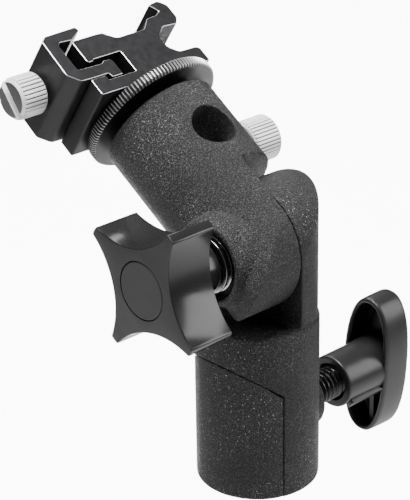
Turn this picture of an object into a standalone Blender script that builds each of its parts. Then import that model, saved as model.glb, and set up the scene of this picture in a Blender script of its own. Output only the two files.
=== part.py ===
"""Umbrella swivel bracket: a stand socket with a one-armed tilt joint, a barrel
that carries the umbrella hole, and a clamp-type accessory shoe on a lock ring.

Frame: +Z up, origin at the centre of the socket mouth. The tilt axis runs along X.
All driving dimensions are in millimetres and are scaled to metres when meshes are made.
"""
import bpy
import bmesh
import math
from mathutils import Matrix, Vector

MM = 0.001
GAP = 0.3                       # clearance kept between neighbouring pieces

# ---- stand socket -----------------------------------------------------------
BASE_R = 13.5                   # outer radius of the socket body
BASE_H = 38.8                   # height of the shoulder under the tilt joint
ARM_R = 13.1                    # lower arm is set in slightly from the socket body
HINGE_Z = 54.6                  # tilt axis height
HALF = 0.15                     # half of the gap between the two arms
BORE_R = 9.3                    # moulded bore that takes the steel sleeve
SLEEVE_RO, SLEEVE_RI = 9.0, 8.1
SOCKET_DEPTH = 30.0
COVER_X = -4.6                  # vertical seam of the bolted-on cover
COVER_Z0, COVER_Z1 = 24.4, 31.4 # sloping top seam, at the seam corner and at the far side
# ---- stand lock screw -------------------------------------------------------
WING_Z = 13.3
BOSS_R, BOSS_X = 7.0, 14.7
STUD_R = 3.95
STUD_X0, STUD_X1 = 8.5, 33.0
HUB_R, HUB_X = 6.1, 23.2
WING_X0, WING_X1 = 34.4, 42.4
WING_HL, WING_HW = 17.2, 6.7
WING_LEAN = math.radians(4.0)      # rest turn of the paddle about its screw
# ---- tilt joint -------------------------------------------------------------
TILT_REST = math.radians(56.42) # barrel leans this far from upright toward +Y
BOLT_R = 3.0
DISC_R = 9.0
KNOB_BACK, KNOB_FRONT = -21.3, -32.6
KNOB_HUB_X, KNOB_HUB_R = -15.4, 5.6
LOBE_R, WAIST_R, LOBE_ANG = 16.8, 9.05, 32.5
CAP_R = 6.1
# ---- barrel (heights are along the barrel from the tilt axis) ---------------
BAR_R = 13.4
SHOULDER_H = 13.9
BAR_TOP = 35.7
NECK_R, NECK_TOP = 10.5, 37.0
HOLE_R, HOLE_H = 5.0, 23.4
USCREW_R, USCREW_X0, USCREW_X1 = 5.15, 14.8, 22.6
USHANK_R, USHANK_TIP = 2.4, 4.0
SHOE_STUD_R, SHOE_STUD_H0, SHOE_STUD_H1 = 3.1, 30.6, 49.0
# ---- lock ring and shoe -----------------------------------------------------
RING_R, RING_H0, RING_H1, RING_TEETH = 16.1, 37.3, 39.9, 120
SHOE_W0, SHOE_W1 = -10.45, 9.8  # ends of the shoe and jaw along the rails
SHOE_BOT = 40.2
CS_H = 52.2                     # height of the clamp screw axis
CS_R, CS_X0, CS_X1 = 4.65, -22.6, -29.4
CSHANK_R, CSHANK_TIP = 1.6, -9.4


# ---- materials --------------------------------------------------------------
def material(name, colour, rough, metal):
    m = bpy.data.materials.new(name)
    m.use_nodes = True
    p = m.node_tree.nodes["Principled BSDF"]
    p.inputs["Base Color"].default_value = (*colour, 1.0)
    p.inputs["Roughness"].default_value = rough
    p.inputs["Metallic"].default_value = metal
    m.diffuse_color = (*colour, 1.0)
    return m


for _o in list(bpy.data.objects):
    bpy.data.objects.remove(_o, do_unlink=True)


# ---- mesh helpers (coordinates in millimetres) ------------------------------
AXIS = {
    "Z": Matrix.Identity(4),
    "X": Matrix(((0, 0, 1, 0), (1, 0, 0, 0), (0, 1, 0, 0), (0, 0, 0, 1))),   # (a, b, c) -> (c, a, b)
    "Y": Matrix(((0, 1, 0, 0), (0, 0, 1, 0), (1, 0, 0, 0), (0, 0, 0, 1))),   # (a, b, c) -> (b, c, a)
}


def turned(profile, seg=64, axis="Z", phase=0.0):
    """Closed body of revolution from (radius, height) points; radius 0 makes a pole."""
    bm = bmesh.new()
    rings = []
    for r, z in profile:
        if r < 1e-6:
            rings.append([bm.verts.new((0.0, 0.0, z))])
        else:
            rings.append([bm.verts.new((r * math.cos(2 * math.pi * (k + phase) / seg),
                                        r * math.sin(2 * math.pi * (k + phase) / seg), z)) for k in range(seg)])
    n = len(rings)
    for i in range(n):
        a, b = rings[i], rings[(i + 1) % n]
        if len(a) == 1 and len(b) == 1:
            continue
        for k in range(seg):
            k2 = (k + 1) % seg
            if len(a) == 1:
                bm.faces.new((a[0], b[k], b[k2]))
            elif len(b) == 1:
                bm.faces.new((a[k], a[k2], b[0]))
            else:
                bm.faces.new((a[k], a[k2], b[k2], b[k]))
    bm.transform(AXIS[axis])
    bmesh.ops.recalc_face_normals(bm, faces=bm.faces)
    return bm


def bored(profile, seg=64, axis="Z"):
    """Turned cutter whose facets are staggered against the facets of what it cuts."""
    return turned(profile, seg, axis, 0.37)


def extruded(outline, z0, z1, axis="Z", bevel=0.0):
    """Straight extrusion of a closed outline; bevel draws both end faces in."""
    bm = bmesh.new()
    levels = [(z0, 0.0), (z1, 0.0)]
    if bevel > 0:
        levels = [(z0, bevel), (z0 + bevel, 0.0), (z1 - bevel, 0.0), (z1, bevel)]
    loops = []
    for z, d in levels:
        pts = inset(outline, d) if d > 0 else outline
        loops.append([bm.verts.new((p[0], p[1], z)) for p in pts])
    n = len(outline)
    for a, b in zip(loops, loops[1:]):
        for k in range(n):
            bm.faces.new((a[k], a[(k + 1) % n], b[(k + 1) % n], b[k]))
    bm.faces.new(loops[0])
    bm.faces.new(loops[-1])
    bm.transform(AXIS[axis])
    bmesh.ops.recalc_face_normals(bm, faces=bm.faces)
    return bm


def area2(pts):
    return sum(pts[i][0] * pts[(i + 1) % len(pts)][1] - pts[(i + 1) % len(pts)][0] * pts[i][1]
               for i in range(len(pts)))


def inset(pts, d):
    """Moves every corner of an outline inward by d along its mitre."""
    s = 1.0 if area2(pts) > 0 else -1.0
    out = []
    n = len(pts)
    for i in range(n):
        p0, p1, p2 = Vector(pts[i - 1]), Vector(pts[i]), Vector(pts[(i + 1) % n])
        e1, e2 = (p1 - p0).normalized(), (p2 - p1).normalized()
        n1 = Vector((-e1.y, e1.x)) * s
        n2 = Vector((-e2.y, e2.x)) * s
        m = (n1 + n2)
        m = m / max(0.3, m.dot(n1)) if m.length > 1e-9 else n1
        q = p1 + m * d
        out.append((q.x, q.y))
    return out


def rounded(corners, steps=3):
    """Outline with filleted corners from (x, y, radius) points."""
    out = []
    n = len(corners)
    for i in range(n):
        p0, p1, p2 = (Vector(corners[i - 1][:2]), Vector(corners[i][:2]), Vector(corners[(i + 1) % n][:2]))
        r = corners[i][2]
        a, b = (p0 - p1), (p2 - p1)
        la, lb = a.length, b.length
        a.normalize()
        b.normalize()
        half = math.acos(max(-1.0, min(1.0, a.dot(b)))) / 2
        t = r / math.tan(half) if r > 0 and half > 1e-3 else 0.0
        t = min(t, la * 0.48, lb * 0.48)
        if t < 0.02:
            out.append((p1.x, p1.y))
            continue
        r = t * math.tan(half)
        c = p1 + (a + b).normalized() * (r / math.sin(half))
        s, e = p1 + a * t - c, p1 + b * t - c
        a0 = math.atan2(s.y, s.x)
        da = (math.atan2(e.y, e.x) - a0 + math.pi) % (2 * math.pi) - math.pi
        for k in range(steps + 1):
            g = a0 + da * k / steps
            out.append((c.x + r * math.cos(g), c.y + r * math.sin(g)))
    return out


def ngon(r, n, phase=0.0):
    return [(r * math.cos(phase + 2 * math.pi * k / n), r * math.sin(phase + 2 * math.pi * k / n))
            for k in range(n)]


def serrated(r, depth, teeth, phase=0.0):
    """Outline of straight serrations: narrow crests, wider roots."""
    pts = []
    for k in range(teeth):
        a = phase + 2 * math.pi * k / teeth
        w = 2 * math.pi / teeth
        for f, rr in ((0.15, r), (0.40, r), (0.60, r - depth), (0.95, r - depth)):
            pts.append((rr * math.cos(a + w * f), rr * math.sin(a + w * f)))
    return pts


def knurled(r, depth, teeth, z0, z1, chamfer, axis="Z"):
    """Straight-serrated drum whose crests run out on a chamfer at both ends."""
    bm = bmesh.new()
    outline = serrated(r, depth, teeth)
    loops = []
    for z, top in ((z0, r - chamfer), (z0 + chamfer, r), (z1 - chamfer, r), (z1, r - chamfer)):
        loop = []
        for x, y in outline:
            q = min(1.0, top / math.hypot(x, y))
            loop.append(bm.verts.new((x * q, y * q, z)))
        loops.append(loop)
    n = len(outline)
    for a, b in zip(loops, loops[1:]):
        for k in range(n):
            bm.faces.new((a[k], a[(k + 1) % n], b[(k + 1) % n], b[k]))
    bm.faces.new(loops[0])
    bm.faces.new(loops[-1])
    bm.transform(AXIS[axis])
    bmesh.ops.recalc_face_normals(bm, faces=bm.faces)
    return bm


def empty(name, location=(0, 0, 0), rotation=(0, 0, 0), parent=None):
    e = bpy.data.objects.new(name, None)
    e.location = [c * MM for c in location]
    e.rotation_euler = rotation
    e.parent = parent
    bpy.context.collection.objects.link(e)
    return e


def body(name, bm, parent=None, location=(0, 0, 0), mat=None, smooth=35):
    me = bpy.data.meshes.new(name)
    bm.transform(Matrix.Scale(MM, 4))
    bm.to_mesh(me)
    bm.free()
    me.shade_smooth()
    me.set_sharp_from_angle(angle=math.radians(smooth))
    if mat:
        me.materials.append(mat)
    ob = bpy.data.objects.new(name, me)
    ob.location = [c * MM for c in location]
    ob.parent = parent
    bpy.context.collection.objects.link(ob)
    return ob


def cut(ob, bm, op="DIFFERENCE", location=(0, 0, 0)):
    """Boolean with a wire cutter that shares the object's parent; location in the parent's frame."""
    c = body(ob.name + "_cutter", bm, ob.parent, location)
    c.hide_render = True
    c.display_type = "WIRE"
    m = ob.modifiers.new("cut", "BOOLEAN")
    m.operation = op
    m.object = c
    m.solver = "EXACT"
    return c


def shifted(bm, x=0.0, y=0.0, z=0.0):
    bm.transform(Matrix.Translation((x, y, z)))
    return bm


def block(x0, x1, y0, y1, z0, z1):
    return shifted(extruded([(x0, y0), (x1, y0), (x1, y1), (x0, y1)], z0, z1))


# ---- colours ----------------------------------------------------------------
def black_cast(n):
    return material(n, (0.020, 0.020, 0.021), 0.62, 0.0)


def black_gloss(n):
    return material(n, (0.018, 0.018, 0.019), 0.32, 0.0)


def black_anodised(n):
    return material(n, (0.030, 0.030, 0.032), 0.36, 0.9)


def bright(n):
    return material(n, (0.78, 0.78, 0.76), 0.24, 1.0)


def steel(n):
    return material(n, (0.48, 0.48, 0.48), 0.34, 1.0)


def dark_steel(n):
    return material(n, (0.06, 0.06, 0.062), 0.34, 1.0)


def brass(n):
    return material(n, (0.66, 0.50, 0.25), 0.34, 1.0)


# =============================================================================
# Socket body: one turned blank, halved above the shoulder to leave the lower arm
# =============================================================================
f = 0.9
base = body("base_housing", turned(
    [(0, 0), (BASE_R - f, 0)] +
    [(BASE_R - f + f * math.sin(math.radians(t)), f - f * math.cos(math.radians(t))) for t in (30, 60, 90)] +
    [(BASE_R, BASE_H - 0.35), (BASE_R - 0.35, BASE_H), (ARM_R, BASE_H), (ARM_R, 72), (0, 72)], 96),
    mat=black_cast("socket body black cast"))
# empty half above the shoulder
cut(base, block(-20, HALF, -20, 20, BASE_H, 80))
# round end of the lower arm, centred on the tilt axis
arch = [(-20, -5), (20, -5), (20, HINGE_Z - 2), (ARM_R + 0.25, HINGE_Z - 2)] + \
       [(ARM_R * math.cos(math.radians(t)), HINGE_Z + ARM_R * math.sin(math.radians(t))) for t in range(0, 181, 5)] + \
       [(-ARM_R - 0.25, HINGE_Z - 2), (-20, HINGE_Z - 2)]
cut(base, extruded(arch, -30, 30, "X"), "INTERSECT")
# boss for the stand lock screw
boss = turned([(0, 4), (BOSS_R, 4), (BOSS_R, BOSS_X - 0.6), (BOSS_R - 0.6, BOSS_X), (0, BOSS_X)], 48, "X")
cut(base, boss, "UNION", (0, 0, WING_Z))
# opening that the cover fills
far = -BASE_R
slope = (COVER_Z1 - COVER_Z0) / (COVER_X - far)
cut(base, extruded([(-3, COVER_X + 0.15), (COVER_Z0 + 0.2, COVER_X + 0.15),
                    (COVER_Z0 + 0.2 + slope * 12, COVER_X + 0.15 - 12), (-3, COVER_X + 0.15 - 12)],
                   -20, 20, "Y"))
# stand socket bore
cut(base, bored([(0, -3), (BORE_R, -3), (BORE_R, SOCKET_DEPTH), (0, SOCKET_DEPTH)], 72))
# pocket for the threaded insert, passage for the stud
cut(base, bored([(0, 5), (4.4, 5), (4.4, 9.6), (5.6, 9.6), (5.6, 20), (0, 20)], 40, "X"), location=(0, 0, WING_Z))
# tilt bolt bore, hexagon recess for its head, seat for the friction disc
cut(base, bored([(0, -3), (DISC_R + GAP, -3), (DISC_R + GAP, 0.85), (BOLT_R + GAP, 0.85),
                  (BOLT_R + GAP, 20), (0, 20)], 48, "X"), location=(0, 0, HINGE_Z))
cut(base, extruded(ngon(6.15, 6, math.pi / 6), 8.8, 20, "X"), location=(0, 0, HINGE_Z))

# cover panel of the socket
cover = body("socket_cover", turned(
    [(BORE_R, 0.0), (BASE_R - f, 0.0)] +
    [(BASE_R - f + f * math.sin(math.radians(t)), f - f * math.cos(math.radians(t))) for t in (30, 60, 90)] +
    [(BASE_R, 36.0), (BORE_R, 36.0)], 96), mat=black_cast("cover black cast"))
cut(cover, extruded([(-3, COVER_X - 0.15), (COVER_Z0 - 0.2, COVER_X - 0.15),
                     (COVER_Z0 - 0.2 + slope * 12, COVER_X - 0.15 - 12), (-3, COVER_X - 0.15 - 12)],
                    -20, 20, "Y"), "INTERSECT")

# steel sleeve of the socket
sleeve = body("socket_sleeve", turned(
    [(SLEEVE_RI + 0.5, 0.4), (SLEEVE_RO, 0.4), (SLEEVE_RO, 29.6), (SLEEVE_RI, 29.6), (SLEEVE_RI, 0.9)], 72),
    mat=steel("sleeve steel"))
cut(sleeve, bored([(0, 2), (4.6, 2), (4.6, 14), (0, 14)], 40, "X"), location=(0, 0, WING_Z))

# threaded insert of the stand lock screw
insert = body("wing_thread_insert", turned(
    [(STUD_R + GAP, 9.9), (5.2, 9.9), (5.2, 14.2), (4.9, 14.5), (STUD_R + GAP, 14.5)], 40, "X"),
    location=(0, 0, WING_Z), mat=brass("insert brass"))

# tilt bolt: hexagon head in the lower arm, shank through both arms to the knob
bolt = body("tilt_bolt", turned(
    [(0, -25.2), (BOLT_R - 0.5, -25.2), (BOLT_R, -24.7), (BOLT_R, 9.6), (0, 9.6)], 40, "X"),
    location=(0, 0, HINGE_Z), mat=dark_steel("bolt dark steel"))
cut(bolt, extruded(ngon(5.7, 6, math.pi / 6), 9.2, 12.2, "X", 0.3), "UNION", (0, 0, HINGE_Z))

# friction disc between the arms
disc = body("tilt_friction_disc", turned(
    [(BOLT_R + GAP, -0.55), (DISC_R, -0.55), (DISC_R, 0.55), (BOLT_R + GAP, 0.55)], 48, "X"),
    location=(0, 0, HINGE_Z), mat=material("disc brown fibre", (0.10, 0.045, 0.02), 0.8, 0.0))

# =============================================================================
# Stand lock screw: threaded stud and hollow wing handle
# =============================================================================
wing_axis = empty("wing_axis", (0, 0, WING_Z))
stud = body("wing_stud", turned(
    [(0, STUD_X0), (STUD_R - 0.9, STUD_X0), (STUD_R, STUD_X0 + 0.9), (STUD_R, STUD_X1), (0, STUD_X1)], 40, "X"),
    wing_axis, mat=dark_steel("stud black steel"))


def wing_outline(hl, hw, n=44, power=2.35):
    out = []
    for k in range(n):
        t = 2 * math.pi * k / n
        c, s = math.cos(t), math.sin(t)
        y, z = hw * math.copysign(abs(c) ** (2 / power), c), hl * math.copysign(abs(s) ** (2 / power), s)
        out.append((y * math.cos(WING_LEAN) - z * math.sin(WING_LEAN), y * math.sin(WING_LEAN) + z * math.cos(WING_LEAN)))
    return out


wing = body("wing_handle", extruded(wing_outline(WING_HL, WING_HW), WING_X0, WING_X1, "X", 0.5),
            wing_axis, mat=black_gloss("wing black plastic"))
# hollow face toward the hub
cut(wing, extruded(wing_outline(WING_HL - 1.2, WING_HW - 1.2), WING_X0 - 1, WING_X0 + 5.4, "X"))
# hub
cut(wing, bored([(0, HUB_X), (HUB_R - 0.4, HUB_X), (HUB_R, HUB_X + 0.4), (HUB_R + 0.3, WING_X0 + 5.9),
                  (0, WING_X0 + 5.9)], 40, "X"), "UNION")
# blind bore for the stud
cut(wing, bored([(0, HUB_X - 2), (STUD_R + GAP, HUB_X - 2), (STUD_R + GAP, STUD_X1 + GAP),
                  (0, STUD_X1 + GAP)], 40, "X"))

# =============================================================================
# Tilting head. Its frame: X along the tilt axis, Y across, Z along the barrel
# =============================================================================
head = empty("tilt_axis", (0, 0, HINGE_Z), (-TILT_REST, 0, 0))

barrel = body("barrel_housing", turned(
    [(0, -16), (BAR_R, -16), (BAR_R, BAR_TOP - 0.6), (BAR_R - 0.2, BAR_TOP - 0.2), (BAR_R - 0.6, BAR_TOP),
     (NECK_R, BAR_TOP), (NECK_R, NECK_TOP), (0, NECK_TOP)], 96), head, mat=black_cast("barrel black cast"))
# empty half below the shoulder
cut(barrel, block(-HALF, 20, -20, 20, -20, SHOULDER_H))
# round end of the upper arm
arch = [(-20, 45), (20, 45), (20, 2), (BAR_R + 0.25, 2)] + \
       [(BAR_R * math.cos(math.radians(t)), BAR_R * math.sin(math.radians(t))) for t in range(0, -181, -5)] + \
       [(-BAR_R - 0.25, 2), (-20, 2)]
cut(barrel, extruded(arch, -30, 30, "X"), "INTERSECT")
# raised collar around the knob's hub, counterbored for the washers
cut(barrel, bored([(0, -8), (10.6, -8), (10.6, -11.2), (9.2, -14.0), (8.9, -14.3), (0, -14.3)], 56, "X"), "UNION")
cut(barrel, bored([(0, -20), (8.3, -20), (8.0, -14.0), (7.4, -12.4), (0, -12.4)], 56, "X"))
# tilt bolt bore and the friction disc's seat
cut(barrel, bored([(0, -20), (BOLT_R + GAP, -20), (BOLT_R + GAP, -0.85), (DISC_R + GAP, -0.85),
                    (DISC_R + GAP, 3), (0, 3)], 48, "X"))
# umbrella hole right through
cut(barrel, bored([(0, -20), (HOLE_R + 0.0, -20), (HOLE_R, 20), (0, 20)], 56, "Y"), location=(0, 0, HOLE_H))
# umbrella lock screw passage and insert pocket
cut(barrel, bored([(0, 2), (USHANK_R + GAP, 2), (USHANK_R + GAP, 6.0), (4.3, 6.0), (4.3, 20), (0, 20)], 40, "X"),
    location=(0, 0, HOLE_H))
# bore of the shoe stud
cut(barrel, bored([(0, SHOE_STUD_H0 - GAP), (SHOE_STUD_R + GAP, SHOE_STUD_H0 - GAP),
                    (SHOE_STUD_R + GAP, 45), (0, 45)], 40))

uinsert = body("umbrella_thread_insert", turned(
    [(USHANK_R + GAP, 6.3), (4.0, 6.3), (4.0, 12.4), (3.7, 12.7), (USHANK_R + GAP, 12.7)], 36, "X"),
    head, (0, 0, HOLE_H), mat=brass("umbrella insert brass"))

shoe_stud = body("shoe_stud", turned(
    [(0, SHOE_STUD_H0), (SHOE_STUD_R, SHOE_STUD_H0), (SHOE_STUD_R, SHOE_STUD_H1 - 0.5),
     (SHOE_STUD_R - 0.5, SHOE_STUD_H1), (0, SHOE_STUD_H1)], 40), head, mat=steel("shoe stud steel"))

# washers under the knob
wavy = body("tilt_spring_washer", turned(
    [(BOLT_R + 0.4, -13.3), (5.9, -12.7), (6.4, -12.9), (6.3, -13.1), (BOLT_R + 0.4, -13.6)], 48, "X"), head,
    mat=dark_steel("spring washer dark steel"))
flat = body("tilt_flat_washer", turned(
    [(BOLT_R + 0.4, -14.0), (6.2, -14.0), (6.2, -14.7), (BOLT_R + 0.4, -14.7)], 48, "X"), head,
    mat=bright("flat washer bright steel"))

# =============================================================================
# Tilt knob: hexagon insert on the bolt, four-lobed body, round cap
# =============================================================================
knob_axis = empty("knob_axis", (0, 0, HINGE_Z))
kinsert = body("tilt_knob_insert", extruded(ngon(4.5, 6), -24.2, -15.9, "X", 0.3), knob_axis,
               mat=brass("knob insert brass"))
cut(kinsert, bored([(0, -30), (BOLT_R + GAP, -30), (BOLT_R + GAP, -10), (0, -10)], 40, "X"))


def star_outline():
    """Four flat-ended lobes joined by concave arcs, counterclockwise."""
    half_tip = math.radians(3.6)
    pts = []
    # the arc centre follows from the waist radius and the lobe's corner
    g = math.pi / 4 - half_tip
    px, py = LOBE_R * math.cos(g), LOBE_R * math.sin(g)
    rho = ((px - WAIST_R) ** 2 + py ** 2) / (2 * (px - WAIST_R))
    c = WAIST_R + rho
    span = math.asin(py / rho)
    for q in range(4):
        mid = math.radians(LOBE_ANG + 45 + 90 * q)
        arc = []
        for k in range(15):
            t = -span + 2 * span * k / 14
            x, y = c - rho * math.cos(t), rho * math.sin(t)
            arc.append((x * math.cos(mid) - y * math.sin(mid), x * math.sin(mid) + y * math.cos(mid)))
        pts += arc
        tip = math.radians(LOBE_ANG + 90 * (q + 1))
        pts.append(((LOBE_R + 0.12) * math.cos(tip), (LOBE_R + 0.12) * math.sin(tip)))
    return pts


knob = body("tilt_knob", extruded(star_outline(), KNOB_FRONT, KNOB_BACK, "X", 0.35), knob_axis,
            mat=black_gloss("knob black plastic"))
cut(knob, bored([(0, -24), (KNOB_HUB_R + 0.5, -24), (KNOB_HUB_R + 0.2, KNOB_BACK), (KNOB_HUB_R, KNOB_HUB_X - 0.3),
                  (KNOB_HUB_R - 0.3, KNOB_HUB_X), (0, KNOB_HUB_X)], 48, "X"), "UNION")
cut(knob, extruded(ngon(4.87, 6), -24.5, -10, "X"))
cut(knob, bored([(0, -26.2), (BOLT_R + GAP, -26.2), (BOLT_R + GAP, -20), (0, -20)], 40, "X"))
cut(knob, bored([(0, -40), (CAP_R + GAP, -40), (CAP_R + GAP, -31.0), (0, -31.0)], 56, "X"))
cap = body("tilt_knob_cap", turned(
    [(0, KNOB_FRONT), (CAP_R - 0.2, KNOB_FRONT), (CAP_R, KNOB_FRONT + 0.2), (CAP_R, -31.3), (0, -31.3)], 56, "X"),
    knob_axis, mat=black_gloss("cap black plastic"))

# =============================================================================
# Umbrella lock screw
# =============================================================================
ushank = body("umbrella_screw_shank", turned(
    [(0, USHANK_TIP), (USHANK_R - 0.5, USHANK_TIP), (USHANK_R, USHANK_TIP + 0.5), (USHANK_R, 20.0), (0, 20.0)],
    36, "X"), head, (0, 0, HOLE_H), mat=steel("umbrella screw steel"))
uhead = body("umbrella_screw_head", knurled(USCREW_R, 0.32, 30, USCREW_X0, USCREW_X1, 0.4, "X"),
             head, (0, 0, HOLE_H), mat=bright("umbrella screw bright"))
cut(uhead, bored([(0, 10), (USHANK_R + GAP, 10), (USHANK_R + GAP, 20.3), (0, 20.3)], 36, "X"),
    location=(0, 0, HOLE_H))
cut(uhead, bored([(0, 22.2), (3.4, 22.2), (3.9, 30), (0, 30)], 40, "X"), location=(0, 0, HOLE_H))

# =============================================================================
# Lock ring and accessory shoe; both turn about the barrel's own axis
# =============================================================================
ring = body("lock_ring", knurled(RING_R, 0.34, RING_TEETH, RING_H0, RING_H1, 0.3), head,
            mat=dark_steel("ring dark steel"))
cut(ring, bored([(0, 30), (SHOE_STUD_R + GAP, 30), (SHOE_STUD_R + GAP, 38.9), (9.3, 38.9), (9.3, 50), (0, 50)], 48))
pad = body("shoe_washer", turned(
    [(SHOE_STUD_R + 0.5, 39.2), (9.0, 39.2), (9.0, 39.9), (SHOE_STUD_R + 0.5, 39.9)], 48), head,
    mat=material("washer black nylon", (0.03, 0.03, 0.03), 0.5, 0.0))

# shoe section, (across, height) along the barrel axis, extruded along the rails
SHOE = [(-17.4, 40.2, 0.4), (-17.4, 44.5, 0.4), (-13.3, 44.5, 0.2), (-13.3, 43.3, 0.1), (-5.7, 43.3, 0.2),
        (-5.7, 49.2, 0.2), (-13.2, 49.2, 0.2), (-13.6, 48.8, 0.1), (-15.1, 48.8, 0.7), (-15.1, 55.05, 0.8),
        (-6.7, 55.05, 1.6), (-4.1, 52.7, 1.6), (3.8, 52.7, 1.6), (6.4, 55.1, 0.8), (9.3, 55.35, 0.3),
        (10.75, 56.1, 0.25), (9.35, 58.45, 0.3), (12.5, 58.8, 1.6), (13.95, 57.0, 1.4), (13.95, 53.2, 1.4),
        (12.6, 51.7, 0.6), (8.6, 52.0, 1.4), (6.0, 49.8, 2.0), (6.0, 46.8, 2.0), (8.0, 44.7, 1.4),
        (12.7, 44.6, 0.6), (13.5, 43.9, 0.5), (13.5, 40.2, 0.5)]
shoe = body("shoe_base", extruded(rounded([(p[1], p[0], p[2]) for p in SHOE]), SHOE_W0, SHOE_W1, "Y", 0.25), head,
            mat=black_anodised("shoe black anodised"))
cut(shoe, bored([(0, 35), (SHOE_STUD_R + GAP, 35), (SHOE_STUD_R + GAP, SHOE_STUD_H1 + GAP),
                  (0, SHOE_STUD_H1 + GAP)], 40))
cut(shoe, bored([(0, -20), (CSHANK_R + GAP, -20), (CSHANK_R + GAP, -5.4), (0, -5.4)], 32, "X"),
    location=(0, 0, CS_H))

# sliding clamp jaw with its tongue in the shoe's slot
JAW = [(-11.7, 58.3, 0.45), (-11.3, 57.2, 0.3), (-14.7, 55.35, 0.3), (-17.9, 55.6, 0.4), (-18.6, 54.8, 0.4),
       (-18.6, 47.8, 0.7), (-12.1, 47.6, 0.3), (-11.3, 48.1, 0.3), (-9.1, 48.1, 0.9), (-9.1, 43.65, 0.2),
       (-11.9, 43.65, 0.2), (-12.3, 44.8, 0.3), (-17.2, 44.8, 0.3), (-19.6, 44.9, 1.6), (-22.0, 47.4, 1.4),
       (-21.7, 57.0, 0.9), (-20.2, 58.1, 0.9)]
jaw = body("clamp_jaw", extruded(rounded([(p[1], p[0], p[2]) for p in JAW]), SHOE_W0, SHOE_W1, "Y", 0.25), head,
           mat=black_anodised("jaw black anodised"))
cut(jaw, bored([(0, -30), (CSHANK_R + 0.4, -30), (CSHANK_R + 0.4, -15.5), (0, -15.5)], 32, "X"),
    location=(0, 0, CS_H))

# clamp screw: slotted knurled head and shank
cscrew = body("clamp_screw", knurled(CS_R, 0.32, 26, CS_X1, CS_X0, 0.45, "X"), head, (0, 0, CS_H),
              mat=bright("clamp screw bright"))
cut(cscrew, bored([(0, -26), (CSHANK_R, -26), (CSHANK_R, CSHANK_TIP - 0.4), (CSHANK_R - 0.4, CSHANK_TIP),
                    (0, CSHANK_TIP)], 32, "X"), "UNION", (0, 0, CS_H))
cut(cscrew, block(-34, -27.3, -9, 9, -0.8, 0.8), location=(0, 0, CS_H))
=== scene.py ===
import bpy
import bmesh
import math
from mathutils import Matrix, Vector


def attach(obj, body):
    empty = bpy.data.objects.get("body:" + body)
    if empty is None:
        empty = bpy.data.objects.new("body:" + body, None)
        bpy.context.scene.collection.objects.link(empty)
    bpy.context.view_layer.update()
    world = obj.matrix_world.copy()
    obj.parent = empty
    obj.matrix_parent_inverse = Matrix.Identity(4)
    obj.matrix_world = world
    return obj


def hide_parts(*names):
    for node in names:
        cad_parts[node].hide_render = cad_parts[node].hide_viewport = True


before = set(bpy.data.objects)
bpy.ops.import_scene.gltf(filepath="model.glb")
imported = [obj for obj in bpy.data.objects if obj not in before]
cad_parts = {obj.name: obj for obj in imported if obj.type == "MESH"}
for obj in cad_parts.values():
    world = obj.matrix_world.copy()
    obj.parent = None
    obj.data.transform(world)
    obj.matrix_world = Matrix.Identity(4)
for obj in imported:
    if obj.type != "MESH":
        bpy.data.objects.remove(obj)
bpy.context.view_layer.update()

MM = 0.001

# --------------------------------------------------------------------------------------
# places shared with the CAD model, in millimetres
# --------------------------------------------------------------------------------------
HZ = 54.6                              # tilt axis height
TILT = math.radians(56.42)             # lean of the barrel toward +Y
WZ = 13.3                              # stand screw height
HOLE_H = 23.4                          # umbrella hole, along the barrel
CS_H = 52.2                            # clamp screw, along the barrel

WORLD = Matrix.Identity(4)
AT_WING = Matrix.Translation((0, 0, WZ * MM))
AT_HINGE = Matrix.Translation((0, 0, HZ * MM))
HEAD = AT_HINGE @ Matrix.Rotation(-TILT, 4, "X")
AT_HOLE = HEAD @ Matrix.Translation((0, 0, HOLE_H * MM))
AT_CLAMP = HEAD @ Matrix.Translation((0, 0, CS_H * MM))

AXIS = {
    "Z": Matrix.Identity(4),
    "X": Matrix(((0, 0, 1, 0), (1, 0, 0, 0), (0, 1, 0, 0), (0, 0, 0, 1))),
    "Y": Matrix(((0, 1, 0, 0), (0, 0, 1, 0), (1, 0, 0, 0), (0, 0, 0, 1))),
}


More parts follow.
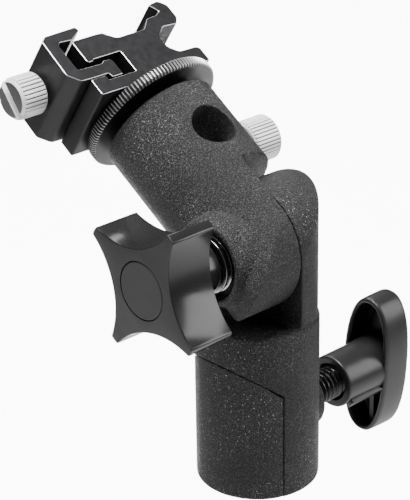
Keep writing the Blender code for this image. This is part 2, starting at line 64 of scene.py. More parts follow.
# --------------------------------------------------------------------------------------
# node helpers
# --------------------------------------------------------------------------------------
class Mat:
    """A small builder round one Principled material."""

    def __init__(self, name, colour, rough, metal=0.0, **sockets):
        self.m = bpy.data.materials.new(name)
        self.m.use_nodes = True
        self.nt = self.m.node_tree
        self.p = self.nt.nodes["Principled BSDF"]
        self.p.inputs["Base Color"].default_value = (*colour, 1.0)
        self.p.inputs["Roughness"].default_value = rough
        self.p.inputs["Metallic"].default_value = metal
        for k, v in sockets.items():
            self.p.inputs[k.replace("_", " ")].default_value = v
        self.m.diffuse_color = (*colour, 1.0)
        self.tc = self.nt.nodes.new("ShaderNodeTexCoord")

    def node(self, kind, **props):
        n = self.nt.nodes.new(kind)
        for k, v in props.items():
            setattr(n, k, v)
        return n

    def link(self, a, b):
        self.nt.links.new(a, b)

    def coords(self, scale=(1, 1, 1), rot=(0, 0, 0)):
        mp = self.node("ShaderNodeMapping")
        mp.inputs["Scale"].default_value = scale
        mp.inputs["Rotation"].default_value = rot
        self.link(self.tc.outputs["Object"], mp.inputs["Vector"])
        return mp.outputs["Vector"]

    def noise(self, scale, detail=3.0, rough=0.5, vec=None, distortion=0.0):
        n = self.node("ShaderNodeTexNoise")
        n.inputs["Scale"].default_value = scale
        n.inputs["Detail"].default_value = detail
        n.inputs["Roughness"].default_value = rough
        n.inputs["Distortion"].default_value = distortion
        self.link(vec if vec is not None else self.tc.outputs["Object"], n.inputs["Vector"])
        return n.outputs["Fac"]

    def voronoi(self, scale, vec=None, feature="F1"):
        n = self.node("ShaderNodeTexVoronoi", feature=feature)
        n.inputs["Scale"].default_value = scale
        self.link(vec if vec is not None else self.tc.outputs["Object"], n.inputs["Vector"])
        return n.outputs["Distance"]

    def ramp(self, fac, stops):
        """stops: (position, value or colour)."""
        n = self.node("ShaderNodeValToRGB")
        cr = n.color_ramp
        while len(cr.elements) < len(stops):
            cr.elements.new(0.5)
        for e, (pos, val) in zip(cr.elements, stops):
            e.position = pos
            e.color = (*val, 1.0) if isinstance(val, tuple) else (val, val, val, 1.0)
        self.link(fac, n.inputs["Fac"])
        return n.outputs["Color"]

    def math(self, op, a, b):
        n = self.node("ShaderNodeMath", operation=op)
        for i, v in enumerate((a, b)):
            if isinstance(v, (int, float)):
                n.inputs[i].default_value = v
            else:
                self.link(v, n.inputs[i])
        return n.outputs[0]

    def mix(self, fac, a, b):
        n = self.node("ShaderNodeMix", data_type="RGBA")
        self.link(fac, n.inputs["Factor"])
        for sock, v in ((n.inputs["A"], a), (n.inputs["B"], b)):
            if isinstance(v, tuple):
                sock.default_value = (*v, 1.0)
            else:
                self.link(v, sock)
        return n.outputs["Result"]

    def bump(self, height, strength, distance, normal=None):
        n = self.node("ShaderNodeBump")
        n.inputs["Strength"].default_value = strength
        n.inputs["Distance"].default_value = distance
        self.link(height, n.inputs["Height"])
        if normal is not None:
            self.link(normal, n.inputs["Normal"])
        return n.outputs["Normal"]

    def set(self, **kw):
        for k, v in kw.items():
            self.link(v, self.p.inputs[k.replace("_", " ")])
        return self


def grained(name, seed=0.0, tone=1.0):
    """Black moulding with a coarse sprayed grain; its colour is painted darker in the grain's hollows (painted
    shade) and lighter on the grain's tips and in small bright dots (painted highlights and glints).
    """
    m = Mat(name, (0.016, 0.016, 0.017), 0.55, 0.0, Specular_IOR_Level=0.28)
    off = m.node("ShaderNodeVectorMath", operation="ADD")
    m.link(m.tc.outputs["Object"], off.inputs[0])
    off.inputs[1].default_value = (seed, seed * 0.7, seed * 1.3)
    v = off.outputs[0]
    grain = m.noise(3900.0, 2.0, 0.6, v)
    fine = m.noise(8000.0, 2.0, 0.6, v)
    patch = m.noise(130.0, 2.0, 0.5, v)
    # this noise sets the patches where the painted grain highlights and glints show
    highlight_patch = m.noise(55.0, 2.0, 0.5, v)
    h = m.math("ADD", m.math("MULTIPLY", grain, 0.8), m.math("MULTIPLY", fine, 0.2))
    n = m.bump(h, 1.0, 0.00042)
    amount = m.ramp(highlight_patch, [(0.36, 0.45), (0.62, 1.0)])
    # painted highlights on the grain's tips
    tip = m.ramp(grain, [(0.0, 0.0), (0.49, 0.0), (0.58, 0.40), (0.66, 1.0)])
    # painted glints: small bright dots
    glint = m.ramp(m.voronoi(1250.0, v), [(0.0, 1.0), (0.11, 0.9), (0.16, 0.0), (1.0, 0.0)])
    # painted shade: darker in the grain's hollows
    pit = m.ramp(grain, [(0.30, 0.25), (0.52, 1.0)])
    base = m.ramp(patch, [(0.3, (0.0080 * tone, 0.0080 * tone, 0.0083 * tone)),
                          (0.7, (0.0105 * tone, 0.0105 * tone, 0.0108 * tone))])
    # the hollows are darkened (painted shade), then the tips and dots are lightened (painted highlights and glints)
    base = m.mix(pit, (0.0025, 0.0025, 0.0026), base)
    col = m.mix(m.math("MULTIPLY", tip, amount), base, (0.12 * tone, 0.12 * tone, 0.122 * tone))
    col = m.mix(m.math("MULTIPLY", glint, m.math("MULTIPLY", m.ramp(highlight_patch, [(0.45, 0.0), (0.6, 1.0)]), 0.9)),
                col, (0.50, 0.50, 0.50))
    rough = m.ramp(fine, [(0.3, 0.44), (0.75, 0.62)])
    m.set(Base_Color=col, Roughness=rough, Normal=n)
    return m.m


def moulded_gloss(name, colour=(0.011, 0.011, 0.012), rough=0.24, satin=0.0):
    """Smooth black plastic with faint flow marks and handling haze."""
    m = Mat(name, colour, rough)
    flow = m.noise(90.0, 2.0, 0.5, m.coords((1, 1, 2.2)))
    haze = m.noise(260.0, 4.0, 0.6)
    r = m.ramp(haze, [(0.30, rough - 0.02), (0.80, rough + 0.05)])
    c = m.ramp(flow, [(0.3, tuple(x * 0.94 for x in colour)), (0.75, tuple(x * 1.10 for x in colour))])
    n = m.bump(flow, 0.10, 0.0002)
    if satin:
        n = m.bump(m.noise(7000.0, 2.0, 0.5), satin, 0.00003, n)
    m.set(Base_Color=c, Roughness=r, Normal=n)
    return m.m


def anodised(name, colour=(0.030, 0.030, 0.032), rough=0.42, metal=0.55):
    """Fine-blasted black anodised aluminium."""
    m = Mat(name, colour, rough, metal)
    blast = m.noise(6500.0, 2.0, 0.6)
    cloud = m.noise(130.0, 3.0, 0.55)
    draw = m.noise(900.0, 2.0, 0.5, m.coords((1.0, 0.05, 1.0)))
    c = m.ramp(cloud, [(0.3, tuple(x * 0.9 for x in colour)), (0.75, tuple(x * 1.18 for x in colour))])
    r = m.ramp(draw, [(0.3, rough - 0.05), (0.7, rough + 0.06)])
    n = m.bump(blast, 0.22, 0.00002, m.bump(draw, 0.06, 0.00004))
    m.set(Base_Color=c, Roughness=r, Normal=n)
    return m.m


def metal(name, colour, rough, turned_axis=None, grime=0.0, strength=0.12, body=1.0):
    """Turned or drawn metal; turned_axis stretches the tool marks round that axis."""
    m = Mat(name, colour, rough, body)
    cloud = m.noise(260.0, 3.0, 0.55)
    if turned_axis == "X":
        marks = m.noise(3600.0, 2.0, 0.5, m.coords((1.0, 0.04, 0.04)))
    elif turned_axis == "Z":
        marks = m.noise(3600.0, 2.0, 0.5, m.coords((0.04, 0.04, 1.0)))
    else:
        marks = m.noise(4200.0, 3.0, 0.6)
    dark = tuple(x * (0.86 - grime) for x in colour)
    c = m.mix(m.ramp(cloud, [(0.32, 0.0), (0.7, 1.0)]), dark, colour)
    r = m.ramp(marks, [(0.3, max(0.05, rough - 0.05)), (0.72, rough + 0.10)])
    n = m.bump(marks, strength, 0.000012)
    m.set(Base_Color=c, Roughness=r, Normal=n)
    return m.m


def fibre(name):
    m = Mat(name, (0.10, 0.045, 0.02), 0.85)
    f = m.noise(1800.0, 5.0, 0.7, m.coords((1.0, 1.0, 0.25)))
    m.set(Base_Color=m.ramp(f, [(0.3, (0.055, 0.026, 0.012)), (0.7, (0.14, 0.07, 0.032))]),
          Normal=m.bump(f, 0.5, 0.00005))
    return m.m


# one black in three copies; the barrel's copy is painted lighter (tone 1.22) to stand in for the brighter light
# falling on it
M_CAST = grained("grained_black", 0.0, 0.90)
M_COVER = grained("grained_black_cover", 0.37, 0.86)
M_BARREL = grained("grained_black_barrel", 0.81, 1.22)
M_GLOSS = moulded_gloss("gloss_black", (0.013, 0.013, 0.0135), 0.33)
M_KNOB = moulded_gloss("gloss_black_knob", (0.014, 0.014, 0.0145), 0.17)
M_FACE = moulded_gloss("satin_black_face", (0.026, 0.026, 0.027), 0.48, 0.25)
M_ANOD = anodised("anodised_black", (0.021, 0.021, 0.0225))
# bright metal on the shoe's and jaw's chamfers: painted highlight along every edge
M_EDGE_HIGHLIGHT = metal("chamfer_painted_highlight", (0.48, 0.48, 0.48), 0.30)
M_BRIGHT = metal("bright_nickel", (0.97, 0.97, 0.965), 0.36, None, -0.12, 0.03, 0.15)
# dark nickel in the knurl grooves: painted shade
M_GROOVE_SHADE = metal("nickel_groove_shade", (0.10, 0.10, 0.10), 0.40, None, 0.0, 0.05)
# darker nickel for the clamp screw's end face: painted shade
M_END_SHADE = metal("nickel_end_face_shade", (0.20, 0.20, 0.20), 0.30, None, 0.0, 0.10)
M_STEEL = metal("bare_steel", (0.55, 0.55, 0.545), 0.30, "Z", 0.10)
M_WASHER = metal("zinc_washer", (0.50, 0.50, 0.495), 0.16, None, 0.0, 0.06)
M_BLACKST = metal("black_oxide_steel", (0.055, 0.055, 0.057), 0.27, "X", 0.1)
M_RING = metal("black_ring_steel", (0.050, 0.050, 0.052), 0.34, "Z", 0.1)
# lighter metal on the lock ring's serration crests: painted highlight
M_CREST_HIGHLIGHT = metal("ring_crest_highlight", (0.44, 0.44, 0.44), 0.40, None)
M_BRASS = metal("machined_brass", (0.70, 0.52, 0.25), 0.26, "X", 0.12)
M_FIBRE = fibre("fibre_disc")
M_NYLON = moulded_gloss("black_nylon", (0.030, 0.030, 0.031), 0.45)


# --------------------------------------------------------------------------------------
# mesh helpers, millimetres
# --------------------------------------------------------------------------------------
def area2(pts):
    return sum(pts[i][0] * pts[(i + 1) % len(pts)][1] - pts[(i + 1) % len(pts)][0] * pts[i][1]
               for i in range(len(pts)))


def inset(pts, d):
    s = 1.0 if area2(pts) > 0 else -1.0
    out = []
    n = len(pts)
    for i in range(n):
        p0, p1, p2 = Vector(pts[i - 1][:2]), Vector(pts[i][:2]), Vector(pts[(i + 1) % n][:2])
        e1, e2 = (p1 - p0).normalized(), (p2 - p1).normalized()
        n1, n2 = Vector((-e1.y, e1.x)) * s, Vector((-e2.y, e2.x)) * s
        m = n1 + n2
        m = m / max(0.35, m.dot(n1)) if m.length > 1e-9 else n1
        q = p1 + m * d
        out.append((q.x, q.y))
    return out


def rounded(corners, per=10.0, rmax=None):
    """Outline with filleted corners; one step for every `per` degrees of turn."""
    out = []
    n = len(corners)
    for i in range(n):
        p0, p1, p2 = Vector(corners[i - 1][:2]), Vector(corners[i][:2]), Vector(corners[(i + 1) % n][:2])
        r = corners[i][2]
        a, b = (p0 - p1), (p2 - p1)
        la, lb = a.length, b.length
        a.normalize()
        b.normalize()
        half = math.acos(max(-1.0, min(1.0, a.dot(b)))) / 2
        t = r / math.tan(half) if r > 0 and half > 1e-3 else 0.0
        t = min(t, la * 0.48, lb * 0.48)
        if t < 0.02:
            out.append((p1.x, p1.y))
            continue
        r = t * math.tan(half)
        c = p1 + (a + b).normalized() * (r / math.sin(half))
        s, e = p1 + a * t - c, p1 + b * t - c
        a0 = math.atan2(s.y, s.x)
        da = (math.atan2(e.y, e.x) - a0 + math.pi) % (2 * math.pi) - math.pi
        steps = max(2, int(abs(math.degrees(da)) / per))
        for k in range(steps + 1):
            g = a0 + da * k / steps
            out.append((c.x + r * math.cos(g), c.y + r * math.sin(g)))
    return out


def prism(outline, z0, z1, axis="Z", round0=0.0, round1=0.0, steps=3, edge_mat=0):
    """Extrusion whose two rims are rounded off by quarter circles."""
    bm = bmesh.new()
    lev = []
    if round0 > 0:
        for k in range(steps + 1):
            t = math.pi / 2 * k / steps
            lev.append((z0 + round0 * (1 - math.sin(t)), round0 * (1 - math.cos(t))))
        lev.reverse()
        lev = [(z0 + round0 * (1 - math.cos(math.pi / 2 * k / steps)),
                round0 * (1 - math.sin(math.pi / 2 * k / steps)), k < steps) for k in range(steps + 1)]
    else:
        lev = [(z0, 0.0, False)]
    if round1 > 0:
        lev += [(z1 - round1 * (1 - math.sin(math.pi / 2 * k / steps)),
                 round1 * (1 - math.cos(math.pi / 2 * k / steps)), k < steps) for k in range(steps + 1)]
    else:
        lev += [(z1, 0.0, False)]
    loops = []
    for z, d, _e in lev:
        pts = inset(outline, d) if d > 1e-6 else [p[:2] for p in outline]
        loops.append([bm.verts.new((p[0], p[1], z)) for p in pts])
    n = len(outline)
    for i, (a, b) in enumerate(zip(loops, loops[1:])):
        for k in range(n):
            f = bm.faces.new((a[k], a[(k + 1) % n], b[(k + 1) % n], b[k]))
            if edge_mat and lev[i][2]:
                f.material_index = edge_mat
    bm.faces.new(loops[0])
    bm.faces.new(loops[-1])
    bm.transform(AXIS[axis])
    bmesh.ops.recalc_face_normals(bm, faces=bm.faces)
    return bm


def lathe(loop, seg=96, axis="Z", fn=None, phase=0.0, mat_fn=None):
    """Closed loop of (radius, height[, weight]) turned round the axis.
    fn(angle, radius, height, weight) may form the radius; radius 0 is a pole."""
    bm = bmesh.new()
    rings = []
    for pt in loop:
        r, z = pt[0], pt[1]
        w = pt[2] if len(pt) > 2 else 0.0
        if r < 1e-6:
            rings.append([bm.verts.new((0, 0, z))])
            continue
        ring = []
        for k in range(seg):
            a = 2 * math.pi * (k + phase) / seg
            rr = fn(a, r, z, w, k) if (fn and w > 0) else r
            ring.append(bm.verts.new((rr * math.cos(a), rr * math.sin(a), z)))
        rings.append(ring)
    n = len(rings)
    for i in range(n):
        a, b = rings[i], rings[(i + 1) % n]
        if len(a) == 1 and len(b) == 1:
            continue
        for k in range(seg):
            k2 = (k + 1) % seg
            if len(a) == 1:
                f = bm.faces.new((a[0], b[k], b[k2]))
            elif len(b) == 1:
                f = bm.faces.new((a[k], a[k2], b[0]))
            else:
                f = bm.faces.new((a[k], a[k2], b[k2], b[k]))
            if mat_fn:
                f.material_index = mat_fn(i, k)
    bm.transform(AXIS[axis])
    bmesh.ops.recalc_face_normals(bm, faces=bm.faces)
    return bm


def fillet(c, r, a0, a1, steps=5):
    """Points of an arc for turned profiles, centre (radius, height)."""
    return [(c[0] + r * math.cos(math.radians(a0 + (a1 - a0) * k / steps)),
             c[1] + r * math.sin(math.radians(a0 + (a1 - a0) * k / steps))) for k in range(steps + 1)]


def made(name, bm, at, mats, smooth=35):
    me = bpy.data.meshes.new(name)
    bm.transform(Matrix.Scale(MM, 4))
    bm.to_mesh(me)
    bm.free()
    for m in mats:
        me.materials.append(m)
    me.shade_smooth()
    me.set_sharp_from_angle(angle=math.radians(smooth))
    ob = bpy.data.objects.new(name, me)
    bpy.context.scene.collection.objects.link(ob)
    ob.matrix_world = at
    return ob


def boolean(ob, bm, op="DIFFERENCE", smooth=35, solver="EXACT"):
    """Applies one Boolean right away and removes the cutter."""
    c = made(ob.name + "_tool", bm, ob.matrix_world.copy(), list(ob.data.materials))
    m = ob.modifiers.new("b", "BOOLEAN")
    m.operation = op
    m.object = c
    m.solver = solver
    bake(ob, smooth)
    bpy.data.objects.remove(c, do_unlink=True)
    return ob


def bake(ob, smooth=35):
    bpy.context.view_layer.update()
    dg = bpy.context.evaluated_depsgraph_get()
    me = bpy.data.meshes.new_from_object(ob.evaluated_get(dg), depsgraph=dg)
    ob.modifiers.clear()
    ob.data = me
    me.shade_smooth()
    if smooth:
        me.set_sharp_from_angle(angle=math.radians(smooth))


def show(ob, body, *nodes, slot=None):
    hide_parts(*nodes)
    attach(ob, body)
    return ob


def cast_from(node, name, body, mat, voxel=0.20, smooth_it=5, shape=None):
    """A moulding with softened edges, grown from the CAD solid."""
    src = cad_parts[node]
    ob = bpy.data.objects.new(name, src.data.copy())
    ob.data.materials.clear()
    bpy.context.scene.collection.objects.link(ob)
    ob.matrix_world = src.matrix_world.copy()
    r = ob.modifiers.new("r", "REMESH")
    r.mode = "VOXEL"
    r.voxel_size = voxel * MM
    r.use_smooth_shade = True
    s = ob.modifiers.new("s", "SMOOTH")
    s.factor = 0.5
    s.iterations = smooth_it
    bake(ob, 0)
    if shape:
        for v in ob.data.vertices:
            v.co = Vector(shape(v.co / MM)) * MM
        ob.data.update()
    ob.data.materials.clear()
    ob.data.materials.append(mat)
    return show(ob, body, node)


def ramp01(x, a, b):
    t = min(1.0, max(0.0, (x - a) / (b - a)))
    return t * t * (3 - 2 * t)


def cover_shape(p):
    """The panel's slanted top edge sits tight, tighter still round the far side."""
    lift = 0.22 + 0.30 * ramp01(-p.x, 5.0, 9.5)
    return (p.x, p.y, p.z + lift * ramp01(p.z, 12.0, 22.0))


def base_shape(p):
    """The upper arm's face is eased back a little near its rim."""
    r = math.hypot(p.y, p.z - HZ)
    ease = 0.16 * ramp01(r, 10.5, 12.8) * ramp01(p.z, 39.0, 40.0)
    return (p.x + (ease if p.x < 0.9 and p.z > 39.0 else 0.0), p.y, p.z)


def barrel_shape(p):
    """The lower arm's face is eased back a little near its rim."""
    r = math.hypot(p.y, p.z - HZ)
    ease = 0.18 * ramp01(r, 10.5, 12.8)
    return (p.x - (ease if -1.2 < p.x < 0.05 and r < 15.0 else 0.0), p.y, p.z)


# --------------------------------------------------------------------------------------
# mouldings
# --------------------------------------------------------------------------------------
cast_from("base_housing", "socket_body", "base", M_CAST, 0.18, 3, base_shape)
cast_from("socket_cover", "socket_cover_panel", "base", M_COVER, 0.17, 3, cover_shape)
cast_from("barrel_housing", "barrel", "head", M_BARREL, 0.18, 4, barrel_shape)


# --------------------------------------------------------------------------------------
# star knob
# --------------------------------------------------------------------------------------
LOBE_R, WAIST_R, LOBE_ANG = 16.8, 9.05, 32.5


def star(lobe=LOBE_R, waist=WAIST_R, half_tip=3.9, steps=34):
    g = math.pi / 4 - math.radians(half_tip)
    px, py = lobe * math.cos(g), lobe * math.sin(g)
    rho = ((px - waist) ** 2 + py ** 2) / (2 * (px - waist))
    c = waist + rho
    span = math.asin(py / rho)
    corners = []
    for q in range(4):
        mid = math.radians(LOBE_ANG + 45 + 90 * q)
        for k in range(steps + 1):
            t = -span + 2 * span * k / steps
            x, y = c - rho * math.cos(t), rho * math.sin(t)
            r = 0.55 if k in (0, steps) else 0.0
            corners.append((x * math.cos(mid) - y * math.sin(mid), x * math.sin(mid) + y * math.cos(mid), r))
        tip = math.radians(LOBE_ANG + 90 * (q + 1))
        corners.append(((lobe + 0.10) * math.cos(tip), (lobe + 0.10) * math.sin(tip), 0.0))
    return rounded(corners, 14.0)


knob = made("star_knob", prism(star(), -32.6, -21.3, "X", 0.28, 0.34, 3), AT_HINGE, [M_KNOB], 28)
boolean(knob, lathe([(0, -24), (6.6, -24), (6.6, -21.32)] + fillet((6.6, -20.3), 1.0, 270, 180, 5) +
                    [(5.6, -16.1)] + fillet((5.1, -15.9), 0.5, 0, 90, 3) + [(0, -15.4)], 96, "X"), "UNION", 28)
boolean(knob, lathe([(0, -40), (6.5, -40), (6.42, -32.55), (6.36, -32.4), (6.36, -31.15), (0, -31.15)], 120, "X", phase=0.4),
        "DIFFERENCE", 28)
boolean(knob, lathe([(0, -26.0), (3.3, -26.0), (3.3, -20), (0, -20)], 64, "X", phase=0.4), "DIFFERENCE", 28)
hexo = [(4.87 * math.cos(math.pi / 3 * k), 4.87 * math.sin(math.pi / 3 * k)) for k in range(6)]
boolean(knob, prism(hexo, -24.5, -10, "X"), "DIFFERENCE", 28)
knob.data.materials.append(M_FACE)
for f in knob.data.polygons:
    if f.normal.x < -0.999:
        f.material_index = 1
show(knob, "tilt_knob", "tilt_knob")
cap = made("star_knob_cap", lathe([(0, -32.62), (5.9, -32.62)] + fillet((5.98, -32.4), 0.22, 270, 360, 4) +
                                  [(6.2, -31.35), (0, -31.35)], 120, "X"), AT_HINGE, [M_FACE], 28)
show(cap, "knob_cap", "tilt_knob_cap")


# --------------------------------------------------------------------------------------
# wing handle and its stud
# --------------------------------------------------------------------------------------
LEAN = math.radians(4.0)


def oval(hl, hw, n=132, power=2.35):
    out = []
    for k in range(n):
        t = 2 * math.pi * k / n
        c, s = math.cos(t), math.sin(t)
        y, z = hw * math.copysign(abs(c) ** (2 / power), c), hl * math.copysign(abs(s) ** (2 / power), s)
        out.append((y * math.cos(LEAN) - z * math.sin(LEAN), y * math.sin(LEAN) + z * math.cos(LEAN)))
    return out


def paddle():
    """Hollow paddle: rounded back, drafted side wall, rolled rim, drafted hollow and floor."""
    bm = bmesh.new()
    HL, HW, X0, X1 = 17.2, 6.7, 34.4, 42.4
    prof = []                                   # (inset from the outline, x)
    for k in range(7):                          # back edge
        t = math.pi / 2 * k / 6
        prof.append((1.3 * (1 - math.sin(t)), X1 - 1.3 * (1 - math.cos(t))))
    prof += [(0.0, 39.0), (0.05, 37.0), (0.12, 35.6)]
    for k in range(1, 9):                       # rolled rim
        t = math.pi * k / 8
        prof.append((0.12 + 0.62 * (1 - math.cos(t)), X0 + 0.66 - 0.66 * math.sin(t) ** 0.9))
    prof += [(1.42, 36.4), (1.6, 38.6), (1.8, 39.4), (2.3, 39.8)]
    loops = []
    for d, x in prof:
        loops.append([bm.verts.new((p[0], p[1], x)) for p in oval(HL - d, HW - d)])
    n = len(loops[0])
    for a, b in zip(loops, loops[1:]):
        for k in range(n):
            bm.faces.new((a[k], a[(k + 1) % n], b[(k + 1) % n], b[k]))

    def close(loop, d, x, crown):
        prev = loop
        for f in (0.75, 0.5, 0.25):
            pts = oval((HL - d) * f, (HW - d) * f)
            ring = [bm.verts.new((p[0], p[1], x + crown * (1 - f * f))) for p in pts]
            for k in range(n):
                bm.faces.new((prev[k], prev[(k + 1) % n], ring[(k + 1) % n], ring[k]))
            prev = ring
        c = bm.verts.new((0, 0, x + crown))
        for k in range(n):
            bm.faces.new((prev[k], prev[(k + 1) % n], c))
    close(loops[0], prof[0][0], prof[0][1], 0.0)
    close(loops[-1], prof[-1][0], prof[-1][1], 0.0)
    bm.transform(AXIS["X"])
    bmesh.ops.recalc_face_normals(bm, faces=bm.faces)
    return bm


wing = made("wing_paddle", paddle(), AT_WING, [M_GLOSS], 32)
hub = [(0, 23.2), (5.4, 23.2)] + fillet((5.7, 23.6), 0.4, 270, 360, 4) + \
      [(6.12, 24.4), (6.16, 30.0), (6.22, 33.0)] + [(6.22 + 0.20 * k * k / 16, 33.0 + 5.4 * k / 8) for k in range(1, 9)] + \
      [(6.5, 40.2), (0, 40.2)]
hub = [(min(r, 6.45), x) for r, x in hub]
boolean(wing, lathe(hub, 120, "X", phase=0.3), "UNION", 30, "MANIFOLD")
# square-edged rib under the hub and a thin web in the lower hollow
rib = prism(rounded([(-1.2, -6.95, 0.25), (1.2, -6.95, 0.25), (1.2, -3.5, 0.1), (-1.2, -3.5, 0.1)], 18), 24.4, 40.0, "X",
            0.3, 0.0, 3)
rib.transform(Matrix.Rotation(math.radians(-48), 4, "X"))
boolean(wing, rib, "UNION", 30, "MANIFOLD")
web = prism([(-0.6, -16.0), (0.6, -16.0), (0.6, -5.0), (-0.6, -5.0)], 37.2, 40.0, "X")
boolean(wing, web, "UNION", 30, "MANIFOLD")
boolean(wing, lathe([(0, 22), (4.5, 22), (4.5, 23.2), (4.2, 23.6), (4.2, 33.3), (0, 33.3)], 72, "X",
                    phase=0.45), "DIFFERENCE", 30, "MANIFOLD")
show(wing, "wing_handle", "wing_handle")


def threaded(name, at, mats, r, depth, pitch, x0, x1, body, *nodes, axis="X", tip0=0.9, tip1=0.4, seg=64,
             lead=1.2, tail=1.2, extra=None):
    """Cylinder with a real helical thread between x0 and x1, running out at both ends."""
    rows = int((x1 - x0) / pitch * 12)

    def form(a, rr, z, w, k):
        f = (z / pitch - a / (2 * math.pi)) % 1.0
        v = abs(f - 0.5) * 2                     # 0 at the root, 1 at the crest
        v = min(1.0, max(0.0, (v - 0.12) / 0.70))
        return rr - depth * w * (1 - v)

    loop = [(0, x0), (r - tip0, x0), (r - tip0 * 0.15, x0 + tip0 * 0.85)]
    for i in range(rows + 1):
        z = x0 + tip0 + (x1 - tip1 - x0 - tip0) * i / rows
        w = min(1.0, (z - x0 - tip0) / lead + 0.35, max(0.02, (x1 - tip1 - z) / tail))
        loop.append((r, z, max(0.02, w)))
    loop += [(r - tip1, x1), (0, x1)]
    ob = made(name, lathe(loop, seg, axis, form), at, mats, 40)
    return show(ob, body, *nodes)


threaded("stand_screw_stud", AT_WING, [M_BLACKST], 3.75, 0.62, 1.25, 8.5, 33.0, "wing_stud", "wing_stud", tail=6.0)


# --------------------------------------------------------------------------------------
# shoe and jaw: extruded sections with fine chamfers, painted bright as a highlight
# --------------------------------------------------------------------------------------
SHOE = [(-17.4, 40.2, 0.45), (-17.4, 44.5, 0.45), (-13.35, 44.5, 0.25), (-13.3, 43.3, 0.15), (-5.7, 43.3, 0.25),
        (-5.7, 49.2, 0.25), (-13.2, 49.2, 0.3), (-13.6, 48.8, 0.2), (-15.1, 48.8, 0.7), (-15.1, 55.05, 0.8),
        (-6.7, 55.05, 1.6), (-4.1, 52.7, 1.6), (3.8, 52.7, 1.6), (6.4, 55.1, 0.8), (9.3, 55.35, 0.3),
        (10.75, 56.1, 0.25), (9.35, 58.45, 0.3), (12.5, 58.8, 1.6), (13.95, 57.0, 1.4), (13.95, 53.2, 1.4),
        (12.6, 51.7, 0.6), (8.6, 52.0, 1.4), (6.0, 49.8, 2.0), (6.0, 46.8, 2.0), (8.0, 44.7, 1.4),
        (12.7, 44.6, 0.6), (13.5, 43.9, 0.5), (13.5, 40.2, 0.5)]
JAW = [(-11.7, 58.3, 0.45), (-11.3, 57.2, 0.3), (-14.7, 55.35, 0.3), (-17.9, 55.6, 0.4), (-18.6, 54.8, 0.4),
       (-18.6, 47.8, 0.7), (-12.1, 47.6, 0.3), (-11.3, 48.1, 0.3), (-9.1, 48.1, 0.9), (-9.1, 43.65, 0.2),
       (-11.9, 43.65, 0.2), (-12.3, 44.8, 0.3), (-17.2, 44.8, 0.3), (-19.6, 44.9, 1.6), (-22.0, 47.4, 1.4),
       (-21.7, 57.0, 0.9), (-20.2, 58.1, 0.9)]
SW0, SW1 = -10.45, 9.8
shoe = made("shoe_body", prism([(q[1], q[0]) for q in rounded([(p[0], p[1], p[2]) for p in SHOE], 9.0)],
                               SW0, SW1, "Y", 0.14, 0.14, 2, 1), HEAD, [M_ANOD, M_EDGE_HIGHLIGHT], 20)
boolean(shoe, lathe([(0, 35), (3.7, 35), (3.7, 40.25), (3.4, 40.6), (3.4, 49.2), (0, 49.2)], 64), "DIFFERENCE", 20)
cutter = lathe([(0, -20), (1.9, -20), (1.9, -5.5), (0, -5.5)], 40, "X", phase=0.4)
cutter.transform(Matrix.Translation((0, 0, CS_H)))
boolean(shoe, cutter, "DIFFERENCE", 20)
show(shoe, "shoe", "shoe_base")

jaw = made("clamp_jaw_body", prism([(q[1], q[0]) for q in rounded([(p[0], p[1], p[2]) for p in JAW], 9.0)],
                                   SW0, SW1, "Y", 0.14, 0.14, 2, 1), HEAD, [M_ANOD, M_EDGE_HIGHLIGHT], 20)
cutter = lathe([(0, -30), (2.3, -30), (2.3, -21.6), (2.0, -21.3), (2.0, -15.5), (0, -15.5)], 40, "X", phase=0.4)
cutter.transform(Matrix.Translation((0, 0, CS_H)))
boolean(jaw, cutter, "DIFFERENCE", 20)
show(jaw, "clamp_jaw", "clamp_jaw")


# --------------------------------------------------------------------------------------
# knurled pieces
# --------------------------------------------------------------------------------------
def serration(depth, per, shape):
    """Radius rule: `per` samples to a tooth, shape gives the depth of each."""
    def form(a, r, z, w, k):
        return r - depth * w * shape[k % per]
    return form


# lock ring: fine straight serrations, bevelled rims, recess for the washer
TEETH = 120
RS = [0.0, 0.0, 0.55, 1.0, 1.0, 0.55]
R1, D1 = 16.1, 0.42
ring_loop = [(9.3, 38.9), (9.3, 39.85), (9.5, 39.9), (15.2, 39.9, 0.0), (15.55, 39.86, 0.05), (15.92, 39.66, 0.75),
             (R1, 39.4, 1.0), (R1, 38.6, 1.0), (R1, 37.85, 1.0), (15.92, 37.55, 0.75), (15.5, 37.34, 0.05),
             (15.1, 37.3, 0.0), (11.0, 37.3), (3.6, 37.3), (3.4, 37.5), (3.4, 38.9)]
# the serration crests get the lighter metal: painted highlight
ring = made("lock_ring_knurled",
            lathe(ring_loop, TEETH * 6, "Z", serration(D1, 6, RS),
                  mat_fn=lambda i, k: 1 if (4 <= i <= 9 and k % 6 in (0, 5)) else 0),
            HEAD, [M_RING, M_CREST_HIGHLIGHT], 30)
show(ring, "lock_ring", "lock_ring")

# clamp screw head: coarse crests, turned end with a wide slot; the end face's darker nickel is painted shade
KS = [0.0, 0.0, 0.0, 0.0, 0.0, 0.45, 1.0, 0.45]
head_loop = [(0, -29.4), (3.2, -29.4)] + fillet((3.75, -29.1), 0.3, 270, 330, 3) + \
            [(4.2, -29.0, 0.0), (4.42, -28.75, 0.25), (4.66, -28.45, 1.0), (4.66, -27.0, 1.0), (4.66, -25.0, 1.0),
             (4.66, -23.3, 1.0), (4.45, -23.0, 0.5), (4.25, -22.8, 0.0), (3.4, -22.6), (1.62, -22.6)] + \
            [(1.62, -19.0), (1.6, -9.8), (1.25, -9.4), (0, -9.4)]
